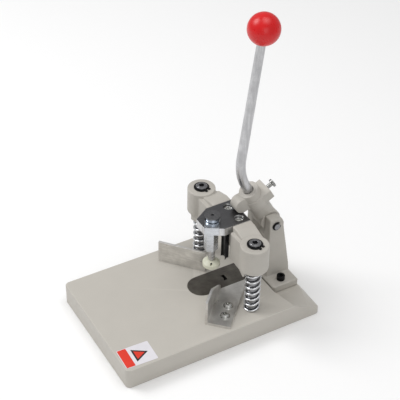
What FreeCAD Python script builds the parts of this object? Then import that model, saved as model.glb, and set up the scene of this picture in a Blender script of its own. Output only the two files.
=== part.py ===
import FreeCAD, Part
import math
import os
import Sketcher

# A hand-lever corner rounder for paper stacks, in millimetres.
# Origin: centre of the base's underside. +X is the operator's right, +Y the back, +Z up.

V = FreeCAD.Vector
doc = FreeCAD.newDocument("corner_rounder")

SIZES = {
    # base casting
    "base_length": 260, "base_width": 168, "base_thick": 27, "base_corner": 6, "base_edge": 1.5,
    "seat_front": 84.5, "seat_level": 17, "seat_half": 50, "seat_back": 123,
    "slope_start": 93, "slope_end": 6.5,
    # guide posts, their bushes, clips and springs
    "post_x": 60.6, "post_y": 46.5, "post_dia": 14, "post_top": 127.4, "post_sunk": 20,
    "socket_flats": 6, "socket_deep": 6, "post_chamfer": 1.2,
    "clip_thick": 1.2, "clip_outer": 18.6, "clip_groove": 13.2, "clip_gap": 2.4, "clip_turn": 112,
    "bush_outer": 18, "running_gap": 0.05, "spring_wire": 2.5, "spring_mean": 16.9, "spring_coils": 7.6,
    # crosshead casting and what it carries
    "boss_dia": 34, "boss_low": 88, "boss_high": 123.8, "boss_lip": 3,
    "web_low": 80, "web_high": 119, "web_back": 66, "web_front": 36, "block_front": 47.3, "jaw_half": 24.5,
    "plate_low": 114.5, "plate_thick": 10.5, "plate_half": 21.4, "plate_back": 64.5, "plate_side_front": 30.1,
    "plate_nose": 10.3, "plate_nose_half": 9.2, "plate_hole": 18, "plate_screw_x": 12.3, "plate_screw_y": 54.5,
    "shoulder_out": 31, "shoulder_front": 40, "shoulder_fall": 119.5, "shoulder_reach": 50,
    # blade and lower die
    "blade_half": 4.6, "blade_low": 59.5, "blade_shear": 2.5, "round_radius": 6, "corner_y": 46.6,
    "cut_gap": 0.15,
    "die_half": 17.3, "die_centre": 13.5, "die_back": 74, "die_thick": 12,
    # presser
    "press_y": 26.3, "press_pin": 8, "press_head": 10, "press_head_low": 97, "press_head_thick": 3,
    "sleeve_dia": 16, "sleeve_low": 119, "sleeve_high": 130.5, "spigot_dia": 12.6, "spigot_long": 7,
    "cap_dia": 18.5, "cap_thick": 1.5, "cap_hole": 3.5, "mouth_left": 9.2, "mouth_right": 8, "mouth_gap": 0.2,
    "column_low": 89, "column_face": 16.1, "tab_low": 109.5,
    "foot_low": 56.5, "foot_dia": 21, "foot_rim": 4.5, "foot_high": 65,
    # fences
    "fence_leg": 30, "fence_thick": 3, "fence_left_long": 61, "fence_right_long": 69.5, "fence_square": 25,
    "fence_left_flange": 25, "fence_right_high": 33.5,
    # lever bracket
    "cheek_in": 13, "cheek_out": 25, "cheek_front": 90.6, "cheek_top": 115, "pivot_y": 99.5, "pivot_z": 104.5,
    "flange_half": 45, "flange_front": 86.8, "flange_back": 122.5, "flange_thick": 10, "bracket_back": 110,
    "web_top": 80, "web_start": 98, "flange_screw_x": 35.3, "flange_screw_y": 104, "pivot_dia": 8,
    # lever
    "lever_tilt": 29, "hub_dia": 26, "hub_half": 12.6, "neck_dia": 25, "neck_off": 0.4, "neck_front": 9,
    "nose_dia": 19.2, "nose_half": 7, "nose_off": 16.7, "nose_along": 44.1,
    "collar_dia": 27.5, "collar_low": 27, "collar_high": 42, "rim_dia": 24, "rim_high": 53.5,
    "lug_low": 28.5, "lug_high": 41, "lug_out": 19.5, "bolt_along": 35,
    "rod_dia": 12, "rod_tip_dia": 10, "rod_low": 31, "rod_bend": 82.6, "rod_bend_radius": 72, "rod_lean": 7.3,
    "rod_upper": 185.1, "knob_dia": 36.5, "knob_flat": 15.5,
    "lever_bush_outer": 12, "bolt_dia": 5, "bolt_out": 26.5, "bolt_head": 10.4, "bolt_head_thick": 3,
    # label
    "label_wide": 30, "label_long": 39, "label_thick": 0.3, "label_x": 65, "label_y": -107.6,
}

sheet = doc.addObject("Spreadsheet::Sheet", "Sizes")
for row, (alias, number) in enumerate(SIZES.items(), start=1):
    sheet.set(f"A{row}", alias)
    sheet.set(f"B{row}", str(number))
    sheet.setAlias(f"B{row}", alias)
doc.recompute()


class Size:
    """A length from the sheet, or arithmetic on such lengths: its value and the expression for it."""

    def __init__(self, value, text):
        self.value = value
        self.text = text

    @staticmethod
    def of(other):
        return other if isinstance(other, Size) else Size(float(other), repr(float(other)))

    def __add__(self, other):
        other = Size.of(other)
        return Size(self.value + other.value, f"({self.text} + {other.text})")

    def __radd__(self, other):
        return Size.of(other) + self

    def __sub__(self, other):
        other = Size.of(other)
        return Size(self.value - other.value, f"({self.text} - {other.text})")

    def __rsub__(self, other):
        return Size.of(other) - self

    def __mul__(self, other):
        other = Size.of(other)
        return Size(self.value * other.value, f"({self.text} * {other.text})")

    def __rmul__(self, other):
        return self * other

    def __truediv__(self, other):
        other = Size.of(other)
        return Size(self.value / other.value, f"({self.text} / {other.text})")

    def __neg__(self):
        return 0 - self


class Sheet:
    def __getattr__(self, alias):
        return Size(float(getattr(sheet, alias)), f"Sizes.{alias}")


S = Sheet()
ZERO = Size.of(0)
AXIS_TURN = {"Z": (V(0, 0, 1), 0), "X": (V(0, 1, 0), 90), "Y": (V(1, 0, 0), -90)}
kept = []


def bind(thing, **sizes):
    """Ties properties of a document object to sizes; two underscores in a name stand for a dot."""
    for name, size in sizes.items():
        thing.setExpression(name.replace("__", "."), Size.of(size).text)


def put(thing, at=(0, 0, 0), turn=None):
    """Places a document object, with its position tied to the sheet."""
    thing.Placement = FreeCAD.Placement(V(0, 0, 0), turn or FreeCAD.Rotation())
    bind(thing, Placement__Base__x=at[0], Placement__Base__y=at[1], Placement__Base__z=at[2])
    return thing


def keep(thing, label):
    """Marks a document object as a finished sub-part."""
    thing.Label = label
    kept.append(thing)
    return thing


def cylinder(dia, length, at=(0, 0, 0), along="Z"):
    shape = doc.addObject("Part::Cylinder", "cylinder")
    bind(shape, Radius=Size.of(dia) / 2, Height=length)
    axis, angle = AXIS_TURN[along]
    return put(shape, at, FreeCAD.Rotation(axis, angle))


def cone(dia_low, dia_high, length, at=(0, 0, 0)):
    shape = doc.addObject("Part::Cone", "cone")
    bind(shape, Radius1=Size.of(dia_low) / 2, Radius2=Size.of(dia_high) / 2, Height=length)
    return put(shape, at)


def box(low, high):
    """A box between two corners."""
    low = [Size.of(v) for v in low]
    high = [Size.of(v) for v in high]
    shape = doc.addObject("Part::Box", "box")
    bind(shape, Length=high[0] - low[0], Width=high[1] - low[1], Height=high[2] - low[2])
    return put(shape, low)


def hexagon(flats, length, at=(0, 0, 0), along="Z"):
    shape = doc.addObject("Part::Prism", "hexagon")
    shape.Polygon = 6
    bind(shape, Circumradius=Size.of(flats) / math.sqrt(3), Height=length)
    axis, angle = AXIS_TURN[along]
    return put(shape, at, FreeCAD.Rotation(axis, angle))


def fuse(*parts):
    joined = doc.addObject("Part::MultiFuse", "fuse")
    joined.Shapes = list(parts)
    joined.Refine = True
    return joined


def cut(base, *tools):
    for tool in tools:
        result = doc.addObject("Part::Cut", "cut")
        result.Base = base
        result.Tool = tool
        result.Refine = True
        base = result
    return base


def common(first, second):
    result = doc.addObject("Part::Common", "common")
    result.Base = first
    result.Tool = second
    return result


def group(*parts):
    """Identical fasteners in one node, each its own solid."""
    holder = doc.addObject("Part::Compound", "group")
    holder.Links = list(parts)
    return holder


def mirrored(source):
    """The same piece on the other side of the middle plane."""
    copy = doc.addObject("Part::Mirroring", "mirrored")
    copy.Source = source
    copy.Base = V(0, 0, 0)
    copy.Normal = V(1, 0, 0)
    return copy


def turned(source, at, turn):
    """A piece built about its own origin and carried to its place."""
    holder = doc.addObject("Part::Compound", "turned")
    holder.Links = [source]
    put(holder, at, turn)
    return holder


def sketch_in(body, plane, start):
    """A sketch on one of the body's own planes, moved along the plane's normal."""
    sketch = body.newObject("Sketcher::SketchObject", "outline")
    face = next(f for f in body.Origin.OriginFeatures if f.Role == plane)
    sketch.AttachmentSupport = [(face, "")]
    sketch.MapMode = "FlatFace"
    bind(sketch, AttachmentOffset__Base__z=start)
    return sketch


def pin_point(sketch, element, end, point):
    """Fixes one end of a sketch element at a point given in sheet sizes."""
    for direction, size in zip(("DistanceX", "DistanceY"), point):
        size = Size.of(size)
        index = sketch.addConstraint(Sketcher.Constraint(direction, -1, 1, element, end, size.value))
        sketch.setExpression(f"Constraints[{index}]", size.text)


def polygon(sketch, points):
    """A closed outline of straight edges through the points."""
    spots = [V(Size.of(x).value, Size.of(y).value, 0) for x, y in points]
    for i, point in enumerate(points):
        sketch.addGeometry(Part.LineSegment(spots[i], spots[(i + 1) % len(spots)]), False)
        pin_point(sketch, i, 1, point)
    for i in range(len(points)):
        sketch.addConstraint(Sketcher.Constraint("Coincident", i, 2, (i + 1) % len(points), 1))


def pad(body, sketch, length):
    feature = body.newObject("PartDesign::Pad", "pad")
    feature.Profile = sketch
    bind(feature, Length=length)
    sketch.Visibility = False
    return feature


def prism(plane, points, start, length):
    """A body padded from a straight-edged outline. The plane is XY_Plane, YZ_Plane or XZ_Plane."""
    body = doc.addObject("PartDesign::Body", "prism")
    sketch = sketch_in(body, plane, start)
    polygon(sketch, points)
    pad(body, sketch, length)
    return body


def edge_names(shape, test):
    """Names of the edges whose two ends pass the test."""
    names = []
    for number, edge in enumerate(shape.Edges, start=1):
        ends = [vertex.Point for vertex in edge.Vertexes]
        if len(ends) == 2 and test(ends[0], ends[1]):
            names.append(f"Edge{number}")
    return names


def round_edges(body, test, radius):
    """Adds a fillet to the chosen edges of the body's tip."""
    doc.recompute()
    base = body.Tip
    fillet = body.newObject("PartDesign::Fillet", "rounding")
    fillet.Base = (base, edge_names(base.Shape, test))
    bind(fillet, Radius=radius)
    body.Tip = fillet


def upright(first, second):
    return abs(first.x - second.x) + abs(first.y - second.y) < 1e-6


def both_sides(points):
    """Closes an outline given for x >= 0 with its own reflection."""
    return list(points) + [(-Size.of(x), y) for x, y in reversed(points) if Size.of(x).value > 0]


# ---------------------------------------------------------------- fasteners

def socket_screw(head_dia, head_long, shank_dia, shank_long, at, along="Z", flats=5):
    """A cap screw: its head starts at the point and its shank runs back from there."""
    at = [Size.of(v) for v in at]
    index = "XYZ".index(along)
    back = list(at)
    back[index] = at[index] - shank_long
    mouth = list(at)
    mouth[index] = at[index] + Size.of(head_long) / 2
    head = cylinder(head_dia, head_long, at, along)
    shank = cylinder(shank_dia, shank_long, back, along)
    return cut(fuse(head, shank), hexagon(flats, head_long, mouth, along))


def post_clip(level, x):
    """A circlip for a post, with its two lugs towards the front right."""
    bite = cylinder(S.clip_groove, S.clip_thick, (0, 0, 0))
    ring = cut(cylinder(S.clip_outer, S.clip_thick, (0, 0, 0)), bite)
    reach = S.clip_outer / 2
    lugs = fuse(*[box((side * 2.6 - 1.5, -reach - 1.6, 0), (side * 2.6 + 1.5, -reach + 2.2, S.clip_thick))
                  for side in (-1, 1)])
    gap = box((-S.clip_gap / 2, -reach - 3, 0), (S.clip_gap / 2, 0, S.clip_thick))
    clip = cut(fuse(ring, lugs), gap, bite)
    return turned(clip, (x, S.post_y, level), FreeCAD.Rotation(V(0, 0, 1), S.clip_turn.value))


# ---------------------------------------------------------------- base

def base_plate():
    """Thick table with a level seat and sloping corners at the back, and a throat for the chips."""
    body = doc.addObject("PartDesign::Body", "base")
    sketch = sketch_in(body, "XY_Plane", ZERO)
    half_w = S.base_width / 2
    half_l = S.base_length / 2
    polygon(sketch, [(half_w, -half_l), (half_w, half_l), (-half_w, half_l), (-half_w, -half_l)])
    pad(body, sketch, S.base_thick)
    round_edges(body, upright, S.base_corner)
    top = S.base_thick.value
    round_edges(body, lambda a, b: min(a.z, b.z) > top - 1e-6, S.base_edge)

    over = S.base_thick + 10
    back = S.base_length / 2 + 1
    middle = ((S.seat_front, S.seat_level), (S.seat_back, S.seat_level), (back, S.slope_end),
              (back, over), (S.seat_front, over))
    slope_mid = (S.slope_start + back) / 2
    side = ((S.slope_start, S.base_thick), (slope_mid, (S.base_thick + S.slope_end) / 2), (back, S.slope_end),
            (back, over), (S.slope_start, over))
    seat = doc.addObject("Part::Loft", "seat")
    edge = half_w + 1
    seat.Sections = [section(side, -edge), section(middle, -S.seat_half),
                     section(middle, S.seat_half), section(side, edge)]
    seat.Solid = True
    seat.Ruled = True

    slot_low = S.base_thick - S.die_thick
    slot = prism("XY_Plane", die_outline(0.05), slot_low, S.die_thick + 5)
    wide = S.blade_half + 1.5
    throat = box((-wide, S.corner_y - 6, -1), (wide, S.block_front + 2, slot_low + 1))
    holes = [cylinder(S.post_dia, S.post_sunk + 5, (x, S.post_y, S.base_thick - S.post_sunk))
             for x in (S.post_x, -S.post_x)]
    holes += [cylinder(6, slot_low + 2, (0, y, -1)) for y in DIE_SCREWS]
    holes += [cylinder(11, 8, (0, y, -1)) for y in DIE_SCREWS]
    holes += [cylinder(6, 14, (x, S.flange_screw_y, S.seat_level - 13))
              for x in (S.flange_screw_x, -S.flange_screw_x)]
    holes += [cylinder(4, 13, (x, y, S.base_thick - 12)) for x, y in FENCE_SCREWS]
    keep(cut(body, seat, slot, throat, *holes), "base_plate")


def section(points, x):
    """A closed outline in a plane across the base, for a loft."""
    wire = doc.addObject("Sketcher::SketchObject", "section")
    wire.Placement = FreeCAD.Placement(V(0, 0, 0), FreeCAD.Rotation(V(1, 1, 1), 120))
    bind(wire, Placement__Base__x=x)
    polygon(wire, points)
    return wire


DIE_SCREWS = (12, 64)
FENCE_SCREWS = ((61.3, 9.7), (48.5, 21.8), (-57.5, 13.0), (-44.2, 24.4))


def die_outline(gap):
    """Outline of the lower die: a bar whose front end is a half circle."""
    half = S.die_half + gap
    steps = 9
    nose = []
    for i in range(steps + 1):
        angle = math.pi / 2 * i / steps
        nose.append((half * math.sin(angle), S.die_centre - half * math.cos(angle)))
    return both_sides(nose + [(half, S.die_back + gap)])


def corner_outline(body, start, gap):
    """Sketch of the blade's section: a block whose front is a square corner with a rounded bottom."""
    sketch = sketch_in(body, "XY_Plane", start)
    half = S.blade_half + gap
    back = S.block_front + gap
    reach = S.round_radius * math.sqrt(0.5)
    apex = S.corner_y - gap * 1.4
    front = apex - half
    bend = apex - reach
    middle = bend + (S.round_radius - reach)
    points = [(reach, bend), (half, front), (half, back), (-half, back), (-half, front), (-reach, bend)]
    spots = [V(Size.of(x).value, Size.of(y).value, 0) for x, y in points]
    for i in range(len(points) - 1):
        sketch.addGeometry(Part.LineSegment(spots[i], spots[i + 1]), False)
        pin_point(sketch, i, 1, points[i])
    last = len(points) - 1
    pin_point(sketch, last - 1, 2, points[last])
    for i in range(last - 1):
        sketch.addConstraint(Sketcher.Constraint("Coincident", i, 2, i + 1, 1))
    arc = Part.Arc(spots[last], V(0, middle.value, 0), spots[0])
    sketch.addGeometry(arc, False)
    sketch.addConstraint(Sketcher.Constraint("Coincident", last - 1, 2, last, 2))
    sketch.addConstraint(Sketcher.Constraint("Coincident", 0, 1, last, 1))
    index = sketch.addConstraint(Sketcher.Constraint("Radius", last, S.round_radius.value))
    sketch.setExpression(f"Constraints[{index}]", S.round_radius.text)
    return sketch


def corner_prism(start, length, gap):
    body = doc.addObject("PartDesign::Body", "corner")
    pad(body, corner_outline(body, start, gap), length)
    return body


def lower_die():
    """Hardened bar, flush with the table, with a throat that the blade enters."""
    low = S.base_thick - S.die_thick
    bar = prism("XY_Plane", die_outline(ZERO), low, S.die_thick)
    throat = corner_prism(low - 1, S.die_thick + 2, S.cut_gap)
    threads = [cylinder(6, 9, (0, y, low - 1)) for y in DIE_SCREWS]
    keep(cut(bar, throat, *threads), "lower_die")
    screws = []
    for y in DIE_SCREWS:
        head = cylinder(10, 6, (0, y, 0.8))
        shank = cylinder(6, low + 0.5, (0, y, 6.8))
        screws.append(cut(fuse(head, shank), hexagon(5, 3, (0, y, 0.8))))
    keep(group(*screws), "lower_die_screws")


def posts():
    """Two hardened posts, pressed into the base, each with a clip groove and a hex socket."""
    level = S.boss_high + 0.1
    for side, x in (("left", -S.post_x), ("right", S.post_x)):
        low = S.base_thick - S.post_sunk
        shaft = cylinder(S.post_dia, S.post_top - S.post_chamfer - low, (x, S.post_y, low))
        tip = cone(S.post_dia, S.post_dia - 2 * S.post_chamfer, S.post_chamfer,
                   (x, S.post_y, S.post_top - S.post_chamfer))
        groove = cut(cylinder(S.post_dia + 4, S.clip_thick, (x, S.post_y, level)),
                     cylinder(S.clip_groove, S.clip_thick, (x, S.post_y, level)))
        socket = hexagon(S.socket_flats, S.socket_deep + 1, (x, S.post_y, S.post_top - S.socket_deep))
        keep(cut(fuse(shaft, tip), groove, socket), f"post_{side}")
        keep(post_clip(level, x), f"circlip_{side}")
        bush = cut(cylinder(S.bush_outer, S.boss_high - S.boss_lip - S.boss_low, (x, S.post_y, S.boss_low)),
                   cylinder(S.post_dia + 2 * S.running_gap, S.boss_high, (x, S.post_y, 0)))
        keep(bush, f"bush_{side}")
        keep(coil(S.spring_mean, S.spring_wire, S.spring_coils, S.base_thick, S.boss_low, (x, S.post_y)),
             f"return_spring_{side}")


def coil(mean_dia, wire, turns, low, high, centre):
    """A helical spring whose wire just touches the levels it stands between."""
    low = Size.of(low) + wire / 2 + 0.05
    rise = Size.of(high) - wire / 2 - 0.05 - low
    path = doc.addObject("Part::Helix", "helix")
    bind(path, Radius=mean_dia / 2, Height=rise, Pitch=rise / turns)
    put(path, (centre[0], centre[1], low))
    ring = doc.addObject("Part::Circle", "ring")
    bind(ring, Radius=wire / 2)
    put(ring, (centre[0] + mean_dia / 2, centre[1], low), FreeCAD.Rotation(V(1, 0, 0), 90))
    doc.recompute()
    spring = doc.addObject("Part::Sweep", "coil")
    spring.Sections = [ring]
    spring.Spine = (path, [f"Edge{i + 1}" for i in range(len(path.Shape.Edges))])
    spring.Solid = True
    spring.Frenet = True
    return spring


# ---------------------------------------------------------------- crosshead

BLADE_SCREW_LEVELS = (96, 106)


def crosshead():
    """Casting that slides on the posts: two bosses joined by an arm that is recessed for the die plate."""
    outline = both_sides([(0, S.web_back), (27, S.web_back), (50, S.web_back - 4), (S.post_x, S.web_back - 5),
                          (S.post_x, S.web_front - 4), (46, S.web_front - 0.5), (S.jaw_half, S.web_front),
                          (S.jaw_half, S.block_front), (0, S.block_front)])
    web = prism("XY_Plane", outline, S.web_low, S.web_high - S.web_low)
    inner = S.plate_half + 0.3
    shoulder_top = S.plate_low + S.plate_thick + 0.2
    shoulder = prism("XZ_Plane", [(inner, S.web_high - 8), (inner, shoulder_top), (S.shoulder_out, shoulder_top),
                                  (S.shoulder_reach, S.shoulder_fall), (S.shoulder_reach, S.web_high - 8)],
                     -S.plate_back, S.plate_back - S.shoulder_front)
    parts = [web, shoulder, mirrored(shoulder)]
    tools = [box((-inner, 0, S.plate_low), (inner, S.web_back + 4, S.web_high + 20))]
    ease = 3
    drum = S.boss_high - S.boss_low - ease
    bush_long = S.boss_high - S.boss_lip - S.boss_low
    for x in (S.post_x, -S.post_x):
        y = S.post_y
        low = S.boss_low
        parts.append(cylinder(S.boss_dia, drum, (x, y, low + ease)))
        parts.append(cone(S.boss_dia - 2 * ease, S.boss_dia, ease, (x, y, low)))
        tools.append(cylinder(S.spring_mean + S.spring_wire + 2.6, 30, (x, y, low - 30)))
        tools.append(cylinder(S.bush_outer, bush_long + 5, (x, y, low - 5)))
        tools.append(cylinder(S.post_dia + 0.8, S.boss_high, (x, y, low)))
    for x in (S.plate_screw_x, -S.plate_screw_x):
        tools.append(cylinder(6, 14, (x, S.plate_screw_y, S.plate_low - 12)))
    for level in BLADE_SCREW_LEVELS:
        tools.append(cylinder(4, 40, (0, S.web_back - 30, level), "Y"))
        tools.append(cylinder(7.6, 10, (0, S.web_back - 5, level), "Y"))
    keep(cut(fuse(*parts), *tools), "crosshead")


def die_plate():
    """Plate in the crosshead's recess, with a round hole and a mouth on the skew for the presser block."""
    outline = both_sides([(0, S.plate_back), (S.plate_half, S.plate_back), (S.plate_half, S.plate_side_front),
                          (S.plate_nose_half, S.plate_nose), (0, S.plate_nose)])
    plate = prism("XY_Plane", outline, S.plate_low, S.plate_thick)
    hole = cylinder(S.plate_hole, S.plate_thick + 2, (0, S.press_y, S.plate_low - 1))
    mouth = prism("XY_Plane", [facing(-S.mouth_left, 0), facing(S.mouth_right, 0), facing(S.mouth_right, 20),
                               facing(-S.mouth_left, 20)], S.plate_low - 1, S.plate_thick + 2)
    tools = [hole, mouth]
    screws = []
    seat = S.plate_low + 2.5
    for x in (S.plate_screw_x, -S.plate_screw_x):
        tools.append(cylinder(6, 20, (x, S.plate_screw_y, S.plate_low - 5)))
        tools.append(cylinder(11.4, 20, (x, S.plate_screw_y, seat)))
        screws.append(socket_screw(9.6, 5, 6, 14, (x, S.plate_screw_y, seat)))
    tools += [cylinder(3, 5, (x, y, S.plate_low - 1)) for x, y in PRESS_SCREWS]
    keep(cut(plate, *tools), "die_plate")
    keep(group(*screws), "die_plate_screws")


def upper_blade():
    """Punch with a square front corner rounded at its root; its lower end slopes so that it shears."""
    block = corner_prism(S.blade_low, S.plate_low - S.blade_low, ZERO)
    front = S.corner_y - S.blade_half
    back = S.block_front + 1
    root = S.blade_low + S.blade_shear
    shear = prism("YZ_Plane", [(front, S.blade_low - 5), (front, S.blade_low), (front + 2.6, root), (back, root),
                               (back, S.blade_low - 5)], -S.blade_half - 5, 2 * S.blade_half + 10)
    threads = [cylinder(4, 4, (0, S.block_front - 2.2, level), "Y") for level in BLADE_SCREW_LEVELS]
    keep(cut(block, shear, *threads), "upper_blade")
    shank = S.web_back - 5 - S.block_front + 2.2
    screws = [socket_screw(7, 4, 4, shank, (0, S.web_back - 5, level), "Y", 3)
              for level in BLADE_SCREW_LEVELS]
    keep(group(*screws), "blade_screws")


# ---------------------------------------------------------------- presser

PRESS_TURN = 58.6
PRESS_SCREWS = ((10.4, 38.6), (9.6, 32.4))


def facing(along, out):
    """A plan point given along the presser block's front face and outwards from the pin's axis."""
    along = Size.of(along)
    out = Size.of(out)
    across = math.cos(math.radians(PRESS_TURN))
    forward = math.sin(math.radians(PRESS_TURN))
    return (along * across + out * forward, S.press_y + along * forward - out * across)


def presser():
    """Aluminium block and column that guide a sprung pin with a plastic foot."""
    low = S.plate_low
    face = S.column_face
    left = S.mouth_left - S.mouth_gap
    right = S.mouth_right - S.mouth_gap
    block = prism("XY_Plane", [facing(-left, 0), facing(right, 0), facing(right, face), facing(-left, face)],
                  low, S.plate_thick)
    column = prism("XY_Plane", [facing(-left - 0.3, -7), facing(-left - 0.3, 8.6), facing(-6.1, face),
                                facing(2.1, face), facing(7.3, 9.6), facing(7.3, -7)],
                   S.column_low, low - S.column_low)
    tab = prism("XY_Plane", [facing(6, 9.6), (14, 32), (14, 42), (6.5, 42), facing(7.3, -5), facing(0, 0)],
                S.tab_low, low - S.tab_low)
    guide = S.press_pin + 2 * S.running_gap
    room = S.press_head + 0.4
    middle = (0, S.press_y)
    bore = fuse(cylinder(guide, 40, (*middle, S.column_low - 5)),
                cylinder(room, 60, (*middle, S.press_head_low)))
    seat = fuse(cylinder(S.spigot_dia, 30, (*middle, S.sleeve_low - S.spigot_long)),
                cylinder(S.sleeve_dia, 30, (*middle, S.sleeve_low)),
                cylinder(S.sleeve_dia + 2, 10, (*middle, low + S.plate_thick - 2)))
    holes = [cylinder(3, 30, (x, y, S.tab_low - 5)) for x, y in PRESS_SCREWS]
    keep(cut(fuse(block, column, tab), bore, seat, *holes), "presser_bracket")
    screws = []
    for x, y in PRESS_SCREWS:
        shank = cylinder(3, 8, (x, y, S.tab_low))
        head = cylinder(5.5, 2.4, (x, y, S.tab_low - 2.4))
        screws.append(cut(fuse(shank, head), hexagon(2.5, 1.4, (x, y, S.tab_low - 2.4))))
    keep(group(*screws), "presser_screws")

    sleeve = cut(fuse(cylinder(S.sleeve_dia, S.sleeve_high - S.sleeve_low, (*middle, S.sleeve_low)),
                      cylinder(S.spigot_dia, S.spigot_long + 1, (*middle, S.sleeve_low - S.spigot_long))),
                 cylinder(room, 40, (*middle, S.sleeve_low - 12)))
    keep(sleeve, "presser_sleeve")
    cap = cut(cylinder(S.cap_dia, S.cap_thick, (*middle, S.sleeve_high)),
              cylinder(S.cap_hole, S.cap_thick + 2, (*middle, S.sleeve_high - 1)))
    keep(cap, "presser_cap")

    head_top = S.press_head_low + S.press_head_thick
    pin_low = S.foot_high - 5
    pin = fuse(cylinder(S.press_pin, S.press_head_low - pin_low, (*middle, pin_low)),
               cylinder(S.press_head, S.press_head_thick, (*middle, S.press_head_low)))
    keep(pin, "presser_pin")
    keep(coil(S.press_head - 1.6, Size.of(1), Size.of(7), head_top, S.sleeve_high, middle), "presser_spring")

    rim = cylinder(S.foot_dia, S.foot_rim, (*middle, S.foot_low))
    crown = cone(S.foot_dia, S.press_pin + 3, S.foot_high - S.foot_low - S.foot_rim,
                 (*middle, S.foot_low + S.foot_rim))
    socket = cylinder(S.press_pin, 20, (*middle, pin_low))
    turn = FreeCAD.Rotation(V(0, 0, 1), PRESS_TURN - 90)
    level = S.foot_high - 2.4
    thread = turned(cylinder(3, 20, (0, 0, 0), "X"), (*middle, level), turn)
    foot = cut(fuse(rim, crown), socket, thread)
    keep(foot, "presser_foot")
    start = S.press_pin / 2
    grub = cut(cylinder(3, 2, (start, 0, 0), "X"), hexagon(1.5, 1.2, (start + 1, 0, 0), "X"))
    keep(turned(grub, (*middle, level), turn), "foot_grub_screw")


# ---------------------------------------------------------------- fences

def fences():
    """Two aluminium angles that meet the stack's edges; the right one slopes away next to the blade."""
    thick = S.fence_thick
    long_left = S.fence_left_long
    lip = box((0, -thick, 0), (long_left, 0, S.fence_leg))
    flange = box((0, -S.fence_left_flange, 0), (long_left, 0, thick))
    left = turned(fuse(lip, flange), (-19.6, 29.7, S.base_thick), FreeCAD.Rotation(V(0, 0, 1), -139.2))
    keep(cut(left, *screw_holes()), "fence_left")

    long_right = S.fence_right_long
    high = S.fence_right_high
    panel = doc.addObject("PartDesign::Body", "panel")
    sketch = sketch_in(panel, "XZ_Plane", ZERO)
    polygon(sketch, [(0, 0), (long_right, 0), (long_right, thick), (S.fence_square, high), (0, high)])
    pad(panel, sketch, thick).Reversed = True
    strip = box((0, -S.fence_leg, 0), (110, 0, thick))
    lifted = turned(panel, (0, -thick, 0), FreeCAD.Rotation())
    right = turned(fuse(lifted, strip), (59, -15.8, S.base_thick), FreeCAD.Rotation(V(0, 0, 1), 135))
    side_trim = box((-60, -60, S.base_thick - 1), (S.die_half + 0.5, 120, S.base_thick + 50))
    back_trim = box((-60, 68, S.base_thick - 1), (60, 120, S.base_thick + 50))
    keep(cut(right, side_trim, back_trim, *screw_holes()), "fence_right")

    top = S.base_thick + thick
    washers = [cut(cylinder(12, 1, (x, y, top)), cylinder(5.4, 3, (x, y, top - 1))) for x, y in FENCE_SCREWS]
    keep(group(*washers), "fence_washers")
    screws = []
    for x, y in FENCE_SCREWS:
        shank = cylinder(4, 14, (x, y, top + 1 - 14))
        head = fuse(cylinder(8.6, 1.4, (x, y, top + 1)), cone(8.6, 5.6, 1.4, (x, y, top + 2.4)))
        slots = [box((x - 2.6, y - 0.5, top + 2.6), (x + 2.6, y + 0.5, top + 6)),
                 box((x - 0.5, y - 2.6, top + 2.6), (x + 0.5, y + 2.6, top + 6))]
        screws.append(cut(fuse(shank, head), *slots))
    keep(group(*screws), "fence_screws")


def screw_holes():
    return [cylinder(5, 20, (x, y, S.base_thick - 5)) for x, y in FENCE_SCREWS]


# ---------------------------------------------------------------- lever bracket

def lever_bracket():
    """Casting with two cheeks on a flanged foot, bolted to the seat behind the table."""
    low = S.seat_level
    cheek = prism("YZ_Plane", [(S.cheek_front, low), (S.cheek_front, S.cheek_top), (102, S.cheek_top),
                               (S.bracket_back - 2.6, S.cheek_top - 2.4), (S.bracket_back, S.cheek_top - 8),
                               (S.bracket_back + 0.4, S.pivot_z - 5), (S.flange_back - 1, 36), (S.flange_back, low)],
                  S.cheek_in, S.cheek_out - S.cheek_in)
    web = prism("YZ_Plane", [(S.web_start, low), (S.web_start, S.web_top - 6), (S.web_start + 6, S.web_top),
                             (113.6, S.web_top), (S.flange_back - 1, 36), (S.flange_back, low)],
                -S.cheek_in, 2 * S.cheek_in)
    foot = prism("XY_Plane", both_sides([(0, S.flange_front), (S.flange_half - 3, S.flange_front),
                                         (S.flange_half, S.flange_front + 3), (S.flange_half, S.flange_back),
                                         (0, S.flange_back)]), low, S.flange_thick)
    pin = cylinder(S.pivot_dia, 100, (-50, S.pivot_y, S.pivot_z), "X")
    holes = [cylinder(6.6, 40, (side * S.flange_screw_x, S.flange_screw_y, low - 5)) for side in (1, -1)]
    keep(cut(fuse(cheek, mirrored(cheek), web, foot), pin, *holes), "lever_bracket")
    screws = [socket_screw(10, 6, 6, 21, (side * S.flange_screw_x, S.flange_screw_y, low + S.flange_thick))
              for side in (1, -1)]
    keep(group(*screws), "bracket_screws")

    half = S.cheek_out + 2.6
    grooves = [cut(cylinder(S.pivot_dia + 3, 1.2, (x, S.pivot_y, S.pivot_z), "X"),
                   cylinder(S.pivot_dia - 1.6, 1.2, (x, S.pivot_y, S.pivot_z), "X"))
               for x in (S.cheek_out + 0.2, -S.cheek_out - 1.4)]
    keep(cut(cylinder(S.pivot_dia, 2 * half, (-half, S.pivot_y, S.pivot_z), "X"), *grooves), "pivot_pin")
    clips = []
    for x in (S.cheek_out + 0.2, -S.cheek_out - 1.4):
        ring = cut(cylinder(S.pivot_dia + 3.2, 1.2, (0, 0, 0), "X"),
                   cylinder(S.pivot_dia - 1.6, 1.2, (0, 0, 0), "X"), box((-1, 0, -2.4), (3, 10, 2.4)))
        clips.append(turned(ring, (x, S.pivot_y, S.pivot_z), FreeCAD.Rotation(V(1, 0, 0), 20)))
    keep(group(*clips), "pivot_circlips")


# ---------------------------------------------------------------- lever

def lever_turn():
    return FreeCAD.Rotation(V(1, 0, 0), S.lever_tilt.value)


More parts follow.
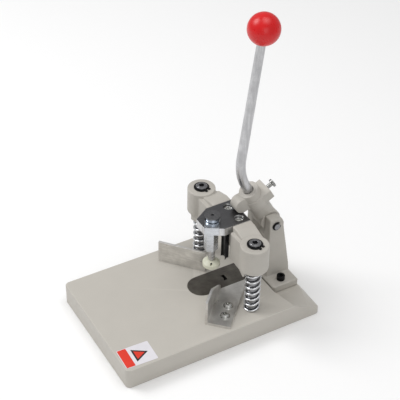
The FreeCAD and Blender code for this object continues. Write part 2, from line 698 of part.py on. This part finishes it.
def at_pivot(source):
    """Carries a lever piece, built upright about the pivot, to its leaning place."""
    return turned(source, (0, S.pivot_y, S.pivot_z), lever_turn())


def lever_head():
    """Casting on the pivot: hub, neck, pressing nose, socket for the rod and a lug for the clamp bolt."""
    hub = cylinder(S.hub_dia, 2 * S.hub_half, (-S.hub_half, 0, 0), "X")
    neck = cylinder(S.neck_dia, S.collar_high, (0, S.neck_off, 0))
    collar = cylinder(S.collar_dia, S.collar_high - S.collar_low, (0, 0, S.collar_low))
    rim = cylinder(S.rim_dia, S.rim_high - S.collar_high + 1, (0, 0, S.collar_high - 1))
    lug = box((-S.hub_half, 0, S.lug_low), (S.hub_half, S.lug_out, S.lug_high))
    nose = cylinder(S.nose_dia, 2 * S.nose_half, (-S.nose_half, -S.nose_off, S.nose_along), "X")
    bridge = prism("YZ_Plane", [(-S.nose_off, S.nose_along - 9.4), (-S.neck_front, 30.5), (-3, 30.5), (-3, 50),
                                (-S.nose_off, S.nose_along + 9.4)], -S.nose_half, 2 * S.nose_half)
    bore = cylinder(S.lever_bush_outer, 60, (-30, 0, 0), "X")
    socket = cylinder(S.rod_dia + 0.2, 60, (0, 0, S.rod_low - 0.5))
    thread = cylinder(S.bolt_dia, 40, (0, 0, S.bolt_along), "Y")
    keep(at_pivot(cut(fuse(hub, neck, collar, rim, lug, nose, bridge), bore, socket, thread)), "lever_head")
    bush = cut(cylinder(S.lever_bush_outer, 2 * S.hub_half, (-S.hub_half, 0, 0), "X"),
               cylinder(S.pivot_dia + 2 * S.running_gap, 60, (-30, 0, 0), "X"))
    keep(at_pivot(bush), "lever_bush")
    tip = S.rod_dia / 2 + 0.1
    bolt = fuse(cylinder(S.bolt_dia, S.bolt_out - tip, (0, tip, S.bolt_along), "Y"),
                cylinder(S.bolt_head, S.bolt_head_thick, (0, S.bolt_out, S.bolt_along), "Y"))
    keep(at_pivot(bolt), "clamp_bolt")


def rod_points():
    """Ends and corner of the rod's centre line, in its own plane."""
    bend = V(0, 0, S.rod_bend.value)
    lean = math.radians(S.rod_lean.value + S.lever_tilt.value)
    upper = V(0, math.sin(lean), math.cos(lean))
    return V(0, 0, S.rod_low.value), bend, bend + upper * S.rod_upper.value, upper


def lever_rod():
    """Round rod with one bend, a little thinner towards the knob."""
    start, corner, end, upper = rod_points()
    half_turn = math.radians(S.rod_lean.value + S.lever_tilt.value) / 2
    radius = S.rod_bend_radius.value
    run = radius * math.tan(half_turn)
    first = corner - V(0, 0, run)
    second = corner + upper * run
    inward = (upper - V(0, 0, 1)).normalize()
    middle = corner + inward * (radius / math.cos(half_turn) - radius)
    path = Part.Wire([Part.LineSegment(start, first).toShape(), Part.Arc(first, middle, second).toShape(),
                      Part.LineSegment(second, end).toShape()])
    shell = Part.BRepOffsetAPI.MakePipeShell(path)
    shell.setTransitionMode(0)
    low = Part.Wire(Part.makeCircle(S.rod_dia.value / 2, start, V(0, 0, 1)))
    high = Part.Wire(Part.makeCircle(S.rod_tip_dia.value / 2, end, upper))
    shell.add(low)
    shell.add(high)
    shell.build()
    shell.makeSolid()
    rod = doc.addObject("Part::Feature", "rod")
    rod.Shape = shell.shape()
    keep(at_pivot(rod), "lever_rod")

    knob = doc.addObject("Part::Sphere", "ball")
    bind(knob, Radius=S.knob_dia / 2)
    room = box((-20, -20, -S.knob_flat - 20), (20, 20, -S.knob_flat))
    bore = cylinder(S.rod_tip_dia + 0.6, S.knob_dia, (0, 0, -S.knob_dia))
    ball = cut(knob, room, bore)
    turn = FreeCAD.Rotation(V(1, 0, 0), -math.degrees(half_turn) * 2)
    seated = turned(ball, (0, end.y, end.z), turn)
    keep(at_pivot(seated), "ball_knob")


def warning_label():
    half_wide = S.label_wide / 2
    half_long = S.label_long / 2
    plate = box((-half_wide, -half_long, 0), (half_wide, half_long, S.label_thick))
    keep(turned(plate, (S.label_x, S.label_y, S.base_thick), FreeCAD.Rotation(V(0, 0, 1), -2.5)), "warning_label")


base_plate()
lower_die()
posts()
crosshead()
die_plate()
upper_blade()
presser()
fences()
lever_bracket()
lever_head()
lever_rod()
warning_label()
doc.recompute()

problems = [thing.Label for thing in doc.Objects if "Invalid" in thing.State or "Error" in thing.State]
for thing in kept:
    if thing.Shape.isNull() or not thing.Shape.isValid():
        problems.append(thing.Label)
if problems:
    raise SystemExit("failed: " + ", ".join(problems))

os.makedirs("parts", exist_ok=True)
for thing in kept:
    thing.Shape.exportStep(f"parts/{thing.Label}.step")
    print(f"{thing.Label:22s} solids {len(thing.Shape.Solids)}  volume {thing.Shape.Volume:10.1f}")
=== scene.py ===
import bpy
import bmesh
import math
from mathutils import Matrix, Vector


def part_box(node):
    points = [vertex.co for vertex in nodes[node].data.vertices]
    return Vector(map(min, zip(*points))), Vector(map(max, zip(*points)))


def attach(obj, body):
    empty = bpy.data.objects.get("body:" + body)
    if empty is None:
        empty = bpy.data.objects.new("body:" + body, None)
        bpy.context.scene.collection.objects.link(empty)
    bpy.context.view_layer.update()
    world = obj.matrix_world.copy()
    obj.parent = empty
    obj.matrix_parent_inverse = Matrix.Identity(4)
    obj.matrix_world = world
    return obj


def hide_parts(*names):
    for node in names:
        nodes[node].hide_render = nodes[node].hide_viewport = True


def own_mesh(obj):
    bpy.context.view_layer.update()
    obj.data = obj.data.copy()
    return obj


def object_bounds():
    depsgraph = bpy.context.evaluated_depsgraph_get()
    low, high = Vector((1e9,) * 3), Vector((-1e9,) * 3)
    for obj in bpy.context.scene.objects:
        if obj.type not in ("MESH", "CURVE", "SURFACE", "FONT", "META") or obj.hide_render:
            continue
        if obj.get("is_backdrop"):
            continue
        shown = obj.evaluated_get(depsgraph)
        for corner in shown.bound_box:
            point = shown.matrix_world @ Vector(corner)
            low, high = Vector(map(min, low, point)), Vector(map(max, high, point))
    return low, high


# Looks for the corner rounder. Lengths are in metres; MM turns millimetres into them.

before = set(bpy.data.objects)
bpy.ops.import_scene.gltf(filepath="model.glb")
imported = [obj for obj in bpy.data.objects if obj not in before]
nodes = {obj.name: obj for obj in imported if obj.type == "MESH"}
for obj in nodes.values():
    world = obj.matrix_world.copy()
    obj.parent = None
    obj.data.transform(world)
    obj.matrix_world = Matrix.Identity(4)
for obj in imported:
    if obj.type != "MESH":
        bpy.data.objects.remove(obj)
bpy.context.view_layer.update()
MM = 0.001


# ---------------------------------------------------------------- materials

def shader(name, colour, rough, metal=0.0):
    """A new material with a Principled shader: the material, its nodes, its links and the shader."""
    mat = bpy.data.materials.new(name)
    mat.use_nodes = True
    tree = mat.node_tree
    principled = tree.nodes["Principled BSDF"]
    principled.inputs["Base Color"].default_value = (*colour, 1)
    principled.inputs["Roughness"].default_value = rough
    principled.inputs["Metallic"].default_value = metal
    return mat, tree.nodes, tree.links, principled


def noise(tree_nodes, links, scale, detail=4.0, stretch=(1, 1, 1)):
    """A noise texture in the piece's own coordinates; scale counts features per metre."""
    place = tree_nodes.new("ShaderNodeTexCoord")
    mapping = tree_nodes.new("ShaderNodeMapping")
    mapping.inputs["Scale"].default_value = stretch
    texture = tree_nodes.new("ShaderNodeTexNoise")
    texture.inputs["Scale"].default_value = scale
    texture.inputs["Detail"].default_value = detail
    links.new(place.outputs["Object"], mapping.inputs["Vector"])
    links.new(mapping.outputs["Vector"], texture.inputs["Vector"])
    return texture.outputs["Fac"]


def spread(tree_nodes, links, factor, low, high):
    """Maps a texture's middle range onto the numbers low to high."""
    ramp = tree_nodes.new("ShaderNodeMapRange")
    ramp.inputs["From Min"].default_value = 0.3
    ramp.inputs["From Max"].default_value = 0.7
    ramp.inputs["To Min"].default_value = low
    ramp.inputs["To Max"].default_value = high
    links.new(factor, ramp.inputs["Value"])
    return ramp.outputs["Result"]


def blend_colours(tree_nodes, links, factor, first, second):
    mix = tree_nodes.new("ShaderNodeMix")
    mix.data_type = "RGBA"
    links.new(factor, mix.inputs["Factor"])
    for socket, colour in (("A", first), ("B", second)):
        target = [s for s in mix.inputs if s.name == socket and s.type == "RGBA"][0]
        if isinstance(colour, bpy.types.NodeSocket):
            links.new(colour, target)
        else:
            target.default_value = (*colour, 1)
    return [s for s in mix.outputs if s.type == "RGBA"][0]


def shade(colour, factor):
    return tuple(min(1.0, c * factor) for c in colour)


def bumps(tree_nodes, links, principled, layers):
    """Stacks bump layers of (height socket, strength, distance in metres)."""
    previous = None
    for height, strength, distance in layers:
        bump = tree_nodes.new("ShaderNodeBump")
        bump.inputs["Strength"].default_value = strength
        bump.inputs["Distance"].default_value = distance
        links.new(height, bump.inputs["Height"])
        if previous:
            links.new(previous, bump.inputs["Normal"])
        previous = bump.outputs["Normal"]
    links.new(previous, principled.inputs["Normal"])


def edge_mask(tree_nodes, links, low, high):
    """1 on convex edges and 0 elsewhere."""
    geometry = tree_nodes.new("ShaderNodeNewGeometry")
    ramp = tree_nodes.new("ShaderNodeMapRange")
    ramp.inputs["From Min"].default_value = low
    ramp.inputs["From Max"].default_value = high
    links.new(geometry.outputs["Pointiness"], ramp.inputs["Value"])
    return ramp.outputs["Result"]


def paint(name, colour, rough, grain, depth, mottle=0.06):
    """Sprayed enamel over a casting: slight mottling, paler edges (partly wear, partly a painted highlight)
    and an orange-peel skin.
    """
    mat, n, k, p = shader(name, colour, rough)
    patches = spread(n, k, noise(n, k, 38), 0, 1)
    tint = blend_colours(n, k, patches, shade(colour, 1 - mottle), shade(colour, 1 + mottle))
    speck = spread(n, k, noise(n, k, 900, 2), 0, 1)
    tint = blend_colours(n, k, speck, tint, colour)
    # Convex edges are lightened: partly wear, partly a painted highlight where rounded edges catch the light.
    worn_and_highlit_edge = edge_mask(n, k, 0.53, 0.60)
    tint = blend_colours(n, k, worn_and_highlit_edge, tint, shade(colour, 1.12))
    k.new(tint, p.inputs["Base Color"])
    k.new(spread(n, k, noise(n, k, 120), rough - 0.08, rough + 0.08), p.inputs["Roughness"])
    bumps(n, k, p, [(noise(n, k, grain, 3), 0.35, depth), (noise(n, k, grain * 4, 2), 0.25, depth / 4)])
    p.inputs["Specular IOR Level"].default_value = 0.45
    return mat


def metal(name, colour, rough, stretch=(1, 1, 1), scale=400, streak=0.10, depth=0.00002, dirt=None):
    """Bare metal with streaks that run along an axis stretched by less than 1 and across one by more."""
    mat, n, k, p = shader(name, colour, rough, 1.0)
    lines = spread(n, k, noise(n, k, scale, 3, stretch), 0, 1)
    tint = blend_colours(n, k, lines, shade(colour, 1 - streak), shade(colour, 1 + streak))
    if dirt:
        stains = spread(n, k, noise(n, k, 90, 6), 0, 1)
        tint = blend_colours(n, k, stains, tint, dirt)
    k.new(tint, p.inputs["Base Color"])
    k.new(spread(n, k, noise(n, k, scale * 0.6, 3, stretch), max(0.03, rough - 0.07), rough + 0.07),
          p.inputs["Roughness"])
    bumps(n, k, p, [(lines, 0.4, depth)])
    return mat


def two_faced(name, top, side, rough):
    """Bare metal coloured by facing: level faces dark as painted shade and dark reflection, upright faces
    pale as painted light.
    """
    mat, n, k, p = shader(name, top, rough, 1.0)
    lines = spread(n, k, noise(n, k, 700, 3, (1, 0.08, 1)), 0, 1)
    fine = spread(n, k, noise(n, k, 500, 3, (1, 1, 0.06)), 0, 1)
    stains = spread(n, k, noise(n, k, 110, 5), 0, 1)
    level = blend_colours(n, k, lines, shade(top, 0.82), shade(top, 1.2))
    level = blend_colours(n, k, stains, level, shade(top, 0.9))
    upright = blend_colours(n, k, fine, shade(side, 0.8), shade(side, 1.15))
    geometry = n.new("ShaderNodeNewGeometry")
    split = n.new("ShaderNodeSeparateXYZ")
    k.new(geometry.outputs["Normal"], split.inputs["Vector"])
    facing_up = n.new("ShaderNodeMapRange")
    facing_up.inputs["From Min"].default_value = 0.75
    facing_up.inputs["From Max"].default_value = 0.95
    k.new(split.outputs["Z"], facing_up.inputs["Value"])
    # Painted light: level faces take the dark painted shade, upright faces the pale lit colour.
    k.new(blend_colours(n, k, facing_up.outputs["Result"], upright, level), p.inputs["Base Color"])
    k.new(spread(n, k, noise(n, k, 420, 3), rough - 0.06, rough + 0.06), p.inputs["Roughness"])
    bumps(n, k, p, [(lines, 0.3, 0.00002)])
    return mat


def plastic(name, colour, rough):
    """Moulded plastic or printed film, faintly clouded."""
    mat, n, k, p = shader(name, colour, rough)
    cloud = spread(n, k, noise(n, k, 60, 3), 0, 1)
    k.new(blend_colours(n, k, cloud, shade(colour, 0.94), shade(colour, 1.05)), p.inputs["Base Color"])
    k.new(spread(n, k, noise(n, k, 200, 4), rough * 0.8, rough * 1.25), p.inputs["Roughness"])
    bumps(n, k, p, [(noise(n, k, 160, 2), 0.15, 0.00005)])
    return mat


GREY = (0.50, 0.475, 0.43)
base_paint = paint("base_paint", GREY, 0.46, 420, 0.00006, 0.03)
# The castings wear the base's enamel darkened to 0.92 as painted shade.
cast_paint = paint("cast_paint", shade(GREY, 0.92), 0.48, 260, 0.00045, 0.09)
bracket_paint = paint("bracket_paint", shade(GREY, 0.92), 0.50, 300, 0.00034, 0.07)
plate_steel = two_faced("plate_steel", (0.15, 0.15, 0.155), (0.62, 0.62, 0.63), 0.34)
cap_steel = metal("cap_steel", (0.17, 0.17, 0.175), 0.36, (1, 1, 1), 500, 0.15)
die_steel = metal("die_steel", (0.115, 0.105, 0.095), 0.42, (1, 0.10, 1), 700, 0.2, 0.00003,
                  (0.17, 0.16, 0.14))
black_steel = metal("black_steel", (0.030, 0.030, 0.033), 0.36, (1, 1, 0.1), 900, 0.3)
black_oxide = metal("black_oxide", (0.022, 0.022, 0.023), 0.40, (1, 1, 1), 700, 0.25)
ground_steel = metal("ground_steel", (0.55, 0.55, 0.56), 0.24, (1, 1, 14), 260, 0.06)
post_steel = metal("post_steel", (0.26, 0.26, 0.27), 0.26, (1, 1, 14), 260, 0.08)
bolt_steel = metal("bolt_steel", (0.30, 0.30, 0.29), 0.24, (1, 1, 1), 600, 0.18)
zinc = metal("zinc", (0.66, 0.66, 0.64), 0.22, (1, 1, 1), 600, 0.14)
chrome = metal("chrome", (0.74, 0.75, 0.77), 0.12, (1, 1, 1), 300, 0.03)
sleeve_chrome = metal("sleeve_chrome", (0.70, 0.77, 0.86), 0.16, (1, 1, 10), 300, 0.04)
aluminium = metal("aluminium", (0.60, 0.62, 0.65), 0.26, (0.1, 0.1, 1), 900, 0.12)
fence_metal = metal("fence_metal", (0.86, 0.85, 0.83), 0.34, (0.15, 0.15, 1), 500, 0.14, 0.00003,
                    (0.64, 0.63, 0.61))
bronze = metal("bronze", (0.50, 0.34, 0.17), 0.3, (1, 1, 8), 300, 0.08)
rod_steel = metal("rod_steel", (0.56, 0.56, 0.57), 0.30, (1, 1, 0.07), 500, 0.18, 0.00003, (0.44, 0.44, 0.45))
ivory = plastic("ivory", (0.72, 0.72, 0.58), 0.38)
red = plastic("red", (0.62, 0.001, 0.003), 0.30)
film_white = plastic("film_white", (0.74, 0.72, 0.76), 0.35)
film_red = plastic("film_red", (0.72, 0.035, 0.015), 0.35)
film_black = plastic("film_black", (0.012, 0.012, 0.014), 0.35)


# ---------------------------------------------------------------- shaping helpers

def dress(node, mat):
    """Gives a CAD node or a piece its material."""
    obj = nodes[node] if isinstance(node, str) else node
    obj.data.materials.clear()
    obj.data.materials.append(mat)
    return obj


def smooth_shade(obj, angle=35):
    """Smooth faces, with creases kept where they meet at more than the angle."""
    for face in obj.data.polygons:
        face.use_smooth = True
    obj.data.set_sharp_from_angle(angle=math.radians(angle))


def chamfered(node, mat, width=0.3, segments=2):
    """Keeps a CAD node's shape and breaks its sharp edges by the width in millimetres."""
    obj = dress(node, mat)
    weld = obj.modifiers.new("weld", "WELD")
    weld.merge_threshold = 1e-6
    flat = obj.modifiers.new("flat", "DECIMATE")
    flat.decimate_type = "DISSOLVE"
    flat.angle_limit = math.radians(0.6)
    bevel = obj.modifiers.new("edges", "BEVEL")
    bevel.width = width * MM
    bevel.segments = segments
    bevel.limit_method = "ANGLE"
    bevel.angle_limit = math.radians(28)
    for face in obj.data.polygons:
        face.use_smooth = True
    normals = obj.modifiers.new("normals", "WEIGHTED_NORMAL")
    normals.keep_sharp = True
    return obj


def cast(node, mat, voxel=0.7, rounds=6):
    """Gives a CAD node the soft edges and blended corners of a casting."""
    obj = dress(node, mat)
    weld = obj.modifiers.new("weld", "WELD")
    weld.merge_threshold = 1e-6
    remesh = obj.modifiers.new("skin", "REMESH")
    remesh.mode = "VOXEL"
    remesh.voxel_size = voxel * MM
    remesh.use_smooth_shade = True
    smooth = obj.modifiers.new("soft", "SMOOTH")
    smooth.factor = 0.5
    smooth.iterations = rounds
    return obj


def new_object(name, mesh, mat, body, *stands_for):
    obj = bpy.data.objects.new(name, mesh)
    bpy.context.scene.collection.objects.link(obj)
    dress(obj, mat)
    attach(obj, body)
    if stands_for:
        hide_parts(*stands_for)
    return obj


def coil(name, centre, low, high, mean_dia, wire, turns, mat, body, node, anchor, keep, joint):
    """A compression spring with a closed turn at each end."""
    closed = 1.0
    flat = 0.75 * closed
    steps = 28
    start_angle = 0.6
    total = turns + 2 * closed
    rise = high - low - wire
    count = int(total * steps)
    curve = bpy.data.curves.new(name, "CURVE")
    curve.dimensions = "3D"
    curve.bevel_depth = wire / 2 * MM
    curve.bevel_resolution = 4
    curve.use_fill_caps = True
    line = curve.splines.new("POLY")
    line.points.add(count)
    for i in range(count + 1):
        turn = i / steps
        share = min(max((turn - flat) / (total - 2 * flat), 0), 1)
        angle = 2 * math.pi * turn + start_angle
        point = (centre[0] + mean_dia / 2 * math.cos(angle), centre[1] + mean_dia / 2 * math.sin(angle),
                 low + wire / 2 + rise * share)
        line.points[i].co = (*(Vector(point) * MM), 1)
    holder = bpy.data.objects.new(name + "_line", curve)
    bpy.context.scene.collection.objects.link(holder)
    mesh = bpy.data.meshes.new_from_object(holder.evaluated_get(bpy.context.evaluated_depsgraph_get()))
    bpy.data.objects.remove(holder)
    spring = new_object(name, mesh, mat, body, node)
    smooth_shade(spring, 60)
    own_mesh(spring)
    return spring


# ---------------------------------------------------------------- the CAD nodes that keep their shape

chamfered("base_plate", base_paint, 0.5, 3)
chamfered("lower_die", die_steel, 0.25)
for name in ("lower_die_screws", "blade_screws", "presser_screws", "bracket_screws", "foot_grub_screw"):
    chamfered(name, black_oxide, 0.25)
for side in ("left", "right"):
    chamfered(f"post_{side}", post_steel, 0.25)
    chamfered(f"circlip_{side}", black_oxide, 0.2)
    chamfered(f"bush_{side}", bronze, 0.2)
chamfered("pivot_circlips", black_oxide, 0.15)
chamfered("pivot_pin", post_steel, 0.3)
chamfered("lever_bush", bronze, 0.2)
cast("crosshead", cast_paint, 0.7, 8)
cast("lever_head", cast_paint, 0.5, 7)
cast("lever_bracket", bracket_paint, 0.8, 6)
chamfered("die_plate", plate_steel, 0.3)
chamfered("die_plate_screws", zinc, 0.35)
chamfered("upper_blade", black_steel, 0.15)
chamfered("presser_bracket", aluminium, 0.3)
chamfered("presser_sleeve", sleeve_chrome, 0.25)
chamfered("presser_cap", cap_steel, 0.3)
chamfered("presser_pin", ground_steel, 0.2)
chamfered("fence_left", fence_metal, 0.25)
chamfered("fence_right", fence_metal, 0.25)
chamfered("fence_screws", zinc, 0.3)
chamfered("fence_washers", zinc, 0.15)
chamfered("clamp_bolt", bolt_steel, 0.4)
dress("lever_rod", rod_steel)
smooth_shade(nodes["lever_rod"], 40)
dress("ball_knob", red)
smooth_shade(nodes["ball_knob"], 30)
chamfered("presser_foot", ivory, 1.5, 4)


# ---------------------------------------------------------------- springs

BASE_TOP = 27
RETURN_SPRING = {"mean_dia": 16.9, "wire": 2.5, "turns": 6.2, "anchor": BASE_TOP, "keep": 0.418,
                 "mat": chrome, "body": "base", "joint": "crosshead_slide"}
PRESSER_SPRING = {"mean_dia": 8.4, "wire": 1.0, "turns": 5.5, "anchor": 130.5, "keep": 0.79,
                  "mat": chrome, "body": "crosshead", "joint": "presser_slide"}

for name in ("left", "right"):
    low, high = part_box(f"return_spring_{name}")
    middle = (low + high) / 2 / MM
    coil(f"spring_{name}", (middle.x, middle.y), low.z / MM, high.z / MM,
         node=f"return_spring_{name}", **RETURN_SPRING)
low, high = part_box("presser_spring")
middle_y = (low.y + high.y) / 2 / MM
coil("inner_spring", (0, middle_y), low.z / MM, high.z / MM, node="presser_spring", **PRESSER_SPRING)


# ---------------------------------------------------------------- plain label

LABEL_CENTRE = Vector((65, -107.6))
LABEL_LEAN = Matrix.Rotation(math.radians(-2.5), 2)
LABEL_HALF_WIDE = 15
LABEL_HALF_LONG = 19.5
MARK_Y = 1.8


def slab(name, outline, low, thick, mat, *stands_for):
    """A thin flat piece on the base, from an outline in the label's own millimetres."""
    shape = bmesh.new()
    places = [(LABEL_CENTRE + LABEL_LEAN @ Vector(spot)) * MM for spot in outline]
    top = shape.faces.new([shape.verts.new((*place, low * MM)) for place in places])
    grown = bmesh.ops.extrude_face_region(shape, geom=[top])
    lifted = [item for item in grown["geom"] if isinstance(item, bmesh.types.BMVert)]
    bmesh.ops.translate(shape, verts=lifted, vec=(0, 0, thick * MM))
    bmesh.ops.recalc_face_normals(shape, faces=shape.faces)
    mesh = bpy.data.meshes.new(name)
    shape.to_mesh(mesh)
    shape.free()
    return new_object(name, mesh, mat, "base", *stands_for)


def rounded(left, right, front, back, radius=1.2):
    """The outline of a rectangle with rounded corners."""
    spots = []
    for cx, cy, start in ((right - radius, back - radius, 0), (left + radius, back - radius, 90),
                          (left + radius, front + radius, 180), (right - radius, front + radius, 270)):
        for step in range(5):
            angle = math.radians(start + 22.5 * step)
            spots.append((cx + radius * math.cos(angle), cy + radius * math.sin(angle)))
    return spots


def triangle(reach):
    """The outline of an upright triangle whose corners are all at the reach from the mark's centre."""
    angles = [math.radians(degrees) for degrees in (90, 210, 330)]
    return [(reach * math.cos(angle), MARK_Y + reach * math.sin(angle)) for angle in angles]


film_outline = rounded(-LABEL_HALF_WIDE, LABEL_HALF_WIDE, -LABEL_HALF_LONG, LABEL_HALF_LONG)
band_outline = rounded(-14.4, 14.4, -18.9, -8.2, 0.6)
slab("label_film", film_outline, BASE_TOP, 0.25, film_white, "warning_label")
slab("label_band", band_outline, BASE_TOP + 0.2, 0.09, film_red)
slab("label_mark_edge", triangle(11.6), BASE_TOP + 0.2, 0.09, film_black)
slab("label_mark", triangle(7.6), BASE_TOP + 0.22, 0.11, film_red)


# ---------------------------------------------------------------- stage, light and camera

floor_mesh = bpy.data.meshes.new("floor")
shape = bmesh.new()
bmesh.ops.create_grid(shape, x_segments=1, y_segments=1, size=6)
shape.to_mesh(floor_mesh)
shape.free()
floor = bpy.data.objects.new("floor", floor_mesh)
floor.location.z = -0.0002
bpy.context.scene.collection.objects.link(floor)
floor_mat, _, _, floor_shader = shader("floor_paper", (0.95, 0.95, 0.95), 0.9)
floor_shader.inputs["Specular IOR Level"].default_value = 0.1
dress(floor, floor_mat)
floor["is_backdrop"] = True


def lamp(name, where, aim, size, power):
    """A square soft light at one place, aimed at another."""
    light = bpy.data.lights.new(name, "AREA")
    light.shape = "RECTANGLE"
    light.size = size
    light.size_y = size
    light.energy = power
    obj = bpy.data.objects.new(name, light)
    obj.location = where
    obj.rotation_euler = (Vector(aim) - Vector(where)).to_track_quat("-Z", "Y").to_euler()
    bpy.context.scene.collection.objects.link(obj)


lamp("key", (-0.9, -0.9, 1.6), (0, 0, 0.08), 0.9, 17)
lamp("top", (0.2, 0.3, 2.0), (0, 0, 0.1), 1.2, 11)
lamp("fill", (1.6, -0.5, 0.9), (0, 0, 0.1), 1.0, 4)

world = bpy.data.worlds.new("studio")
bpy.context.scene.world = world
world.use_nodes = True
world.node_tree.nodes["Background"].inputs["Color"].default_value = (1, 1, 1, 1)
world.node_tree.nodes["Background"].inputs["Strength"].default_value = 0.48
bpy.context.scene.view_settings.view_transform = "Standard"

camera_data = bpy.data.cameras.new("camera")
camera_data.sensor_width = 36
camera_data.lens = 103.59
camera_data.shift_x = 0.0598
camera_data.shift_y = 0.0198
camera_data.clip_end = 50
camera = bpy.data.objects.new("camera", camera_data)
# The camera looks from the right front, a little rolled, at a point on the ground plane.
azimuth = math.radians(-28.9455)
elevation = math.radians(38.5127)
roll = math.radians(0.1429)
distance = 1549.7 * MM
aim = Vector((-176.56, 75.78, 0)) * MM
turn = (Matrix.Rotation(math.pi / 2 + azimuth, 4, "Z") @ Matrix.Rotation(math.pi / 2 - elevation, 4, "X")
        @ Matrix.Rotation(roll, 4, "Z"))
camera.matrix_world = Matrix.Translation(aim) @ turn @ Matrix.Translation((0, 0, distance))
bpy.context.scene.collection.objects.link(camera)
bpy.context.scene.camera = camera

low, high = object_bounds()
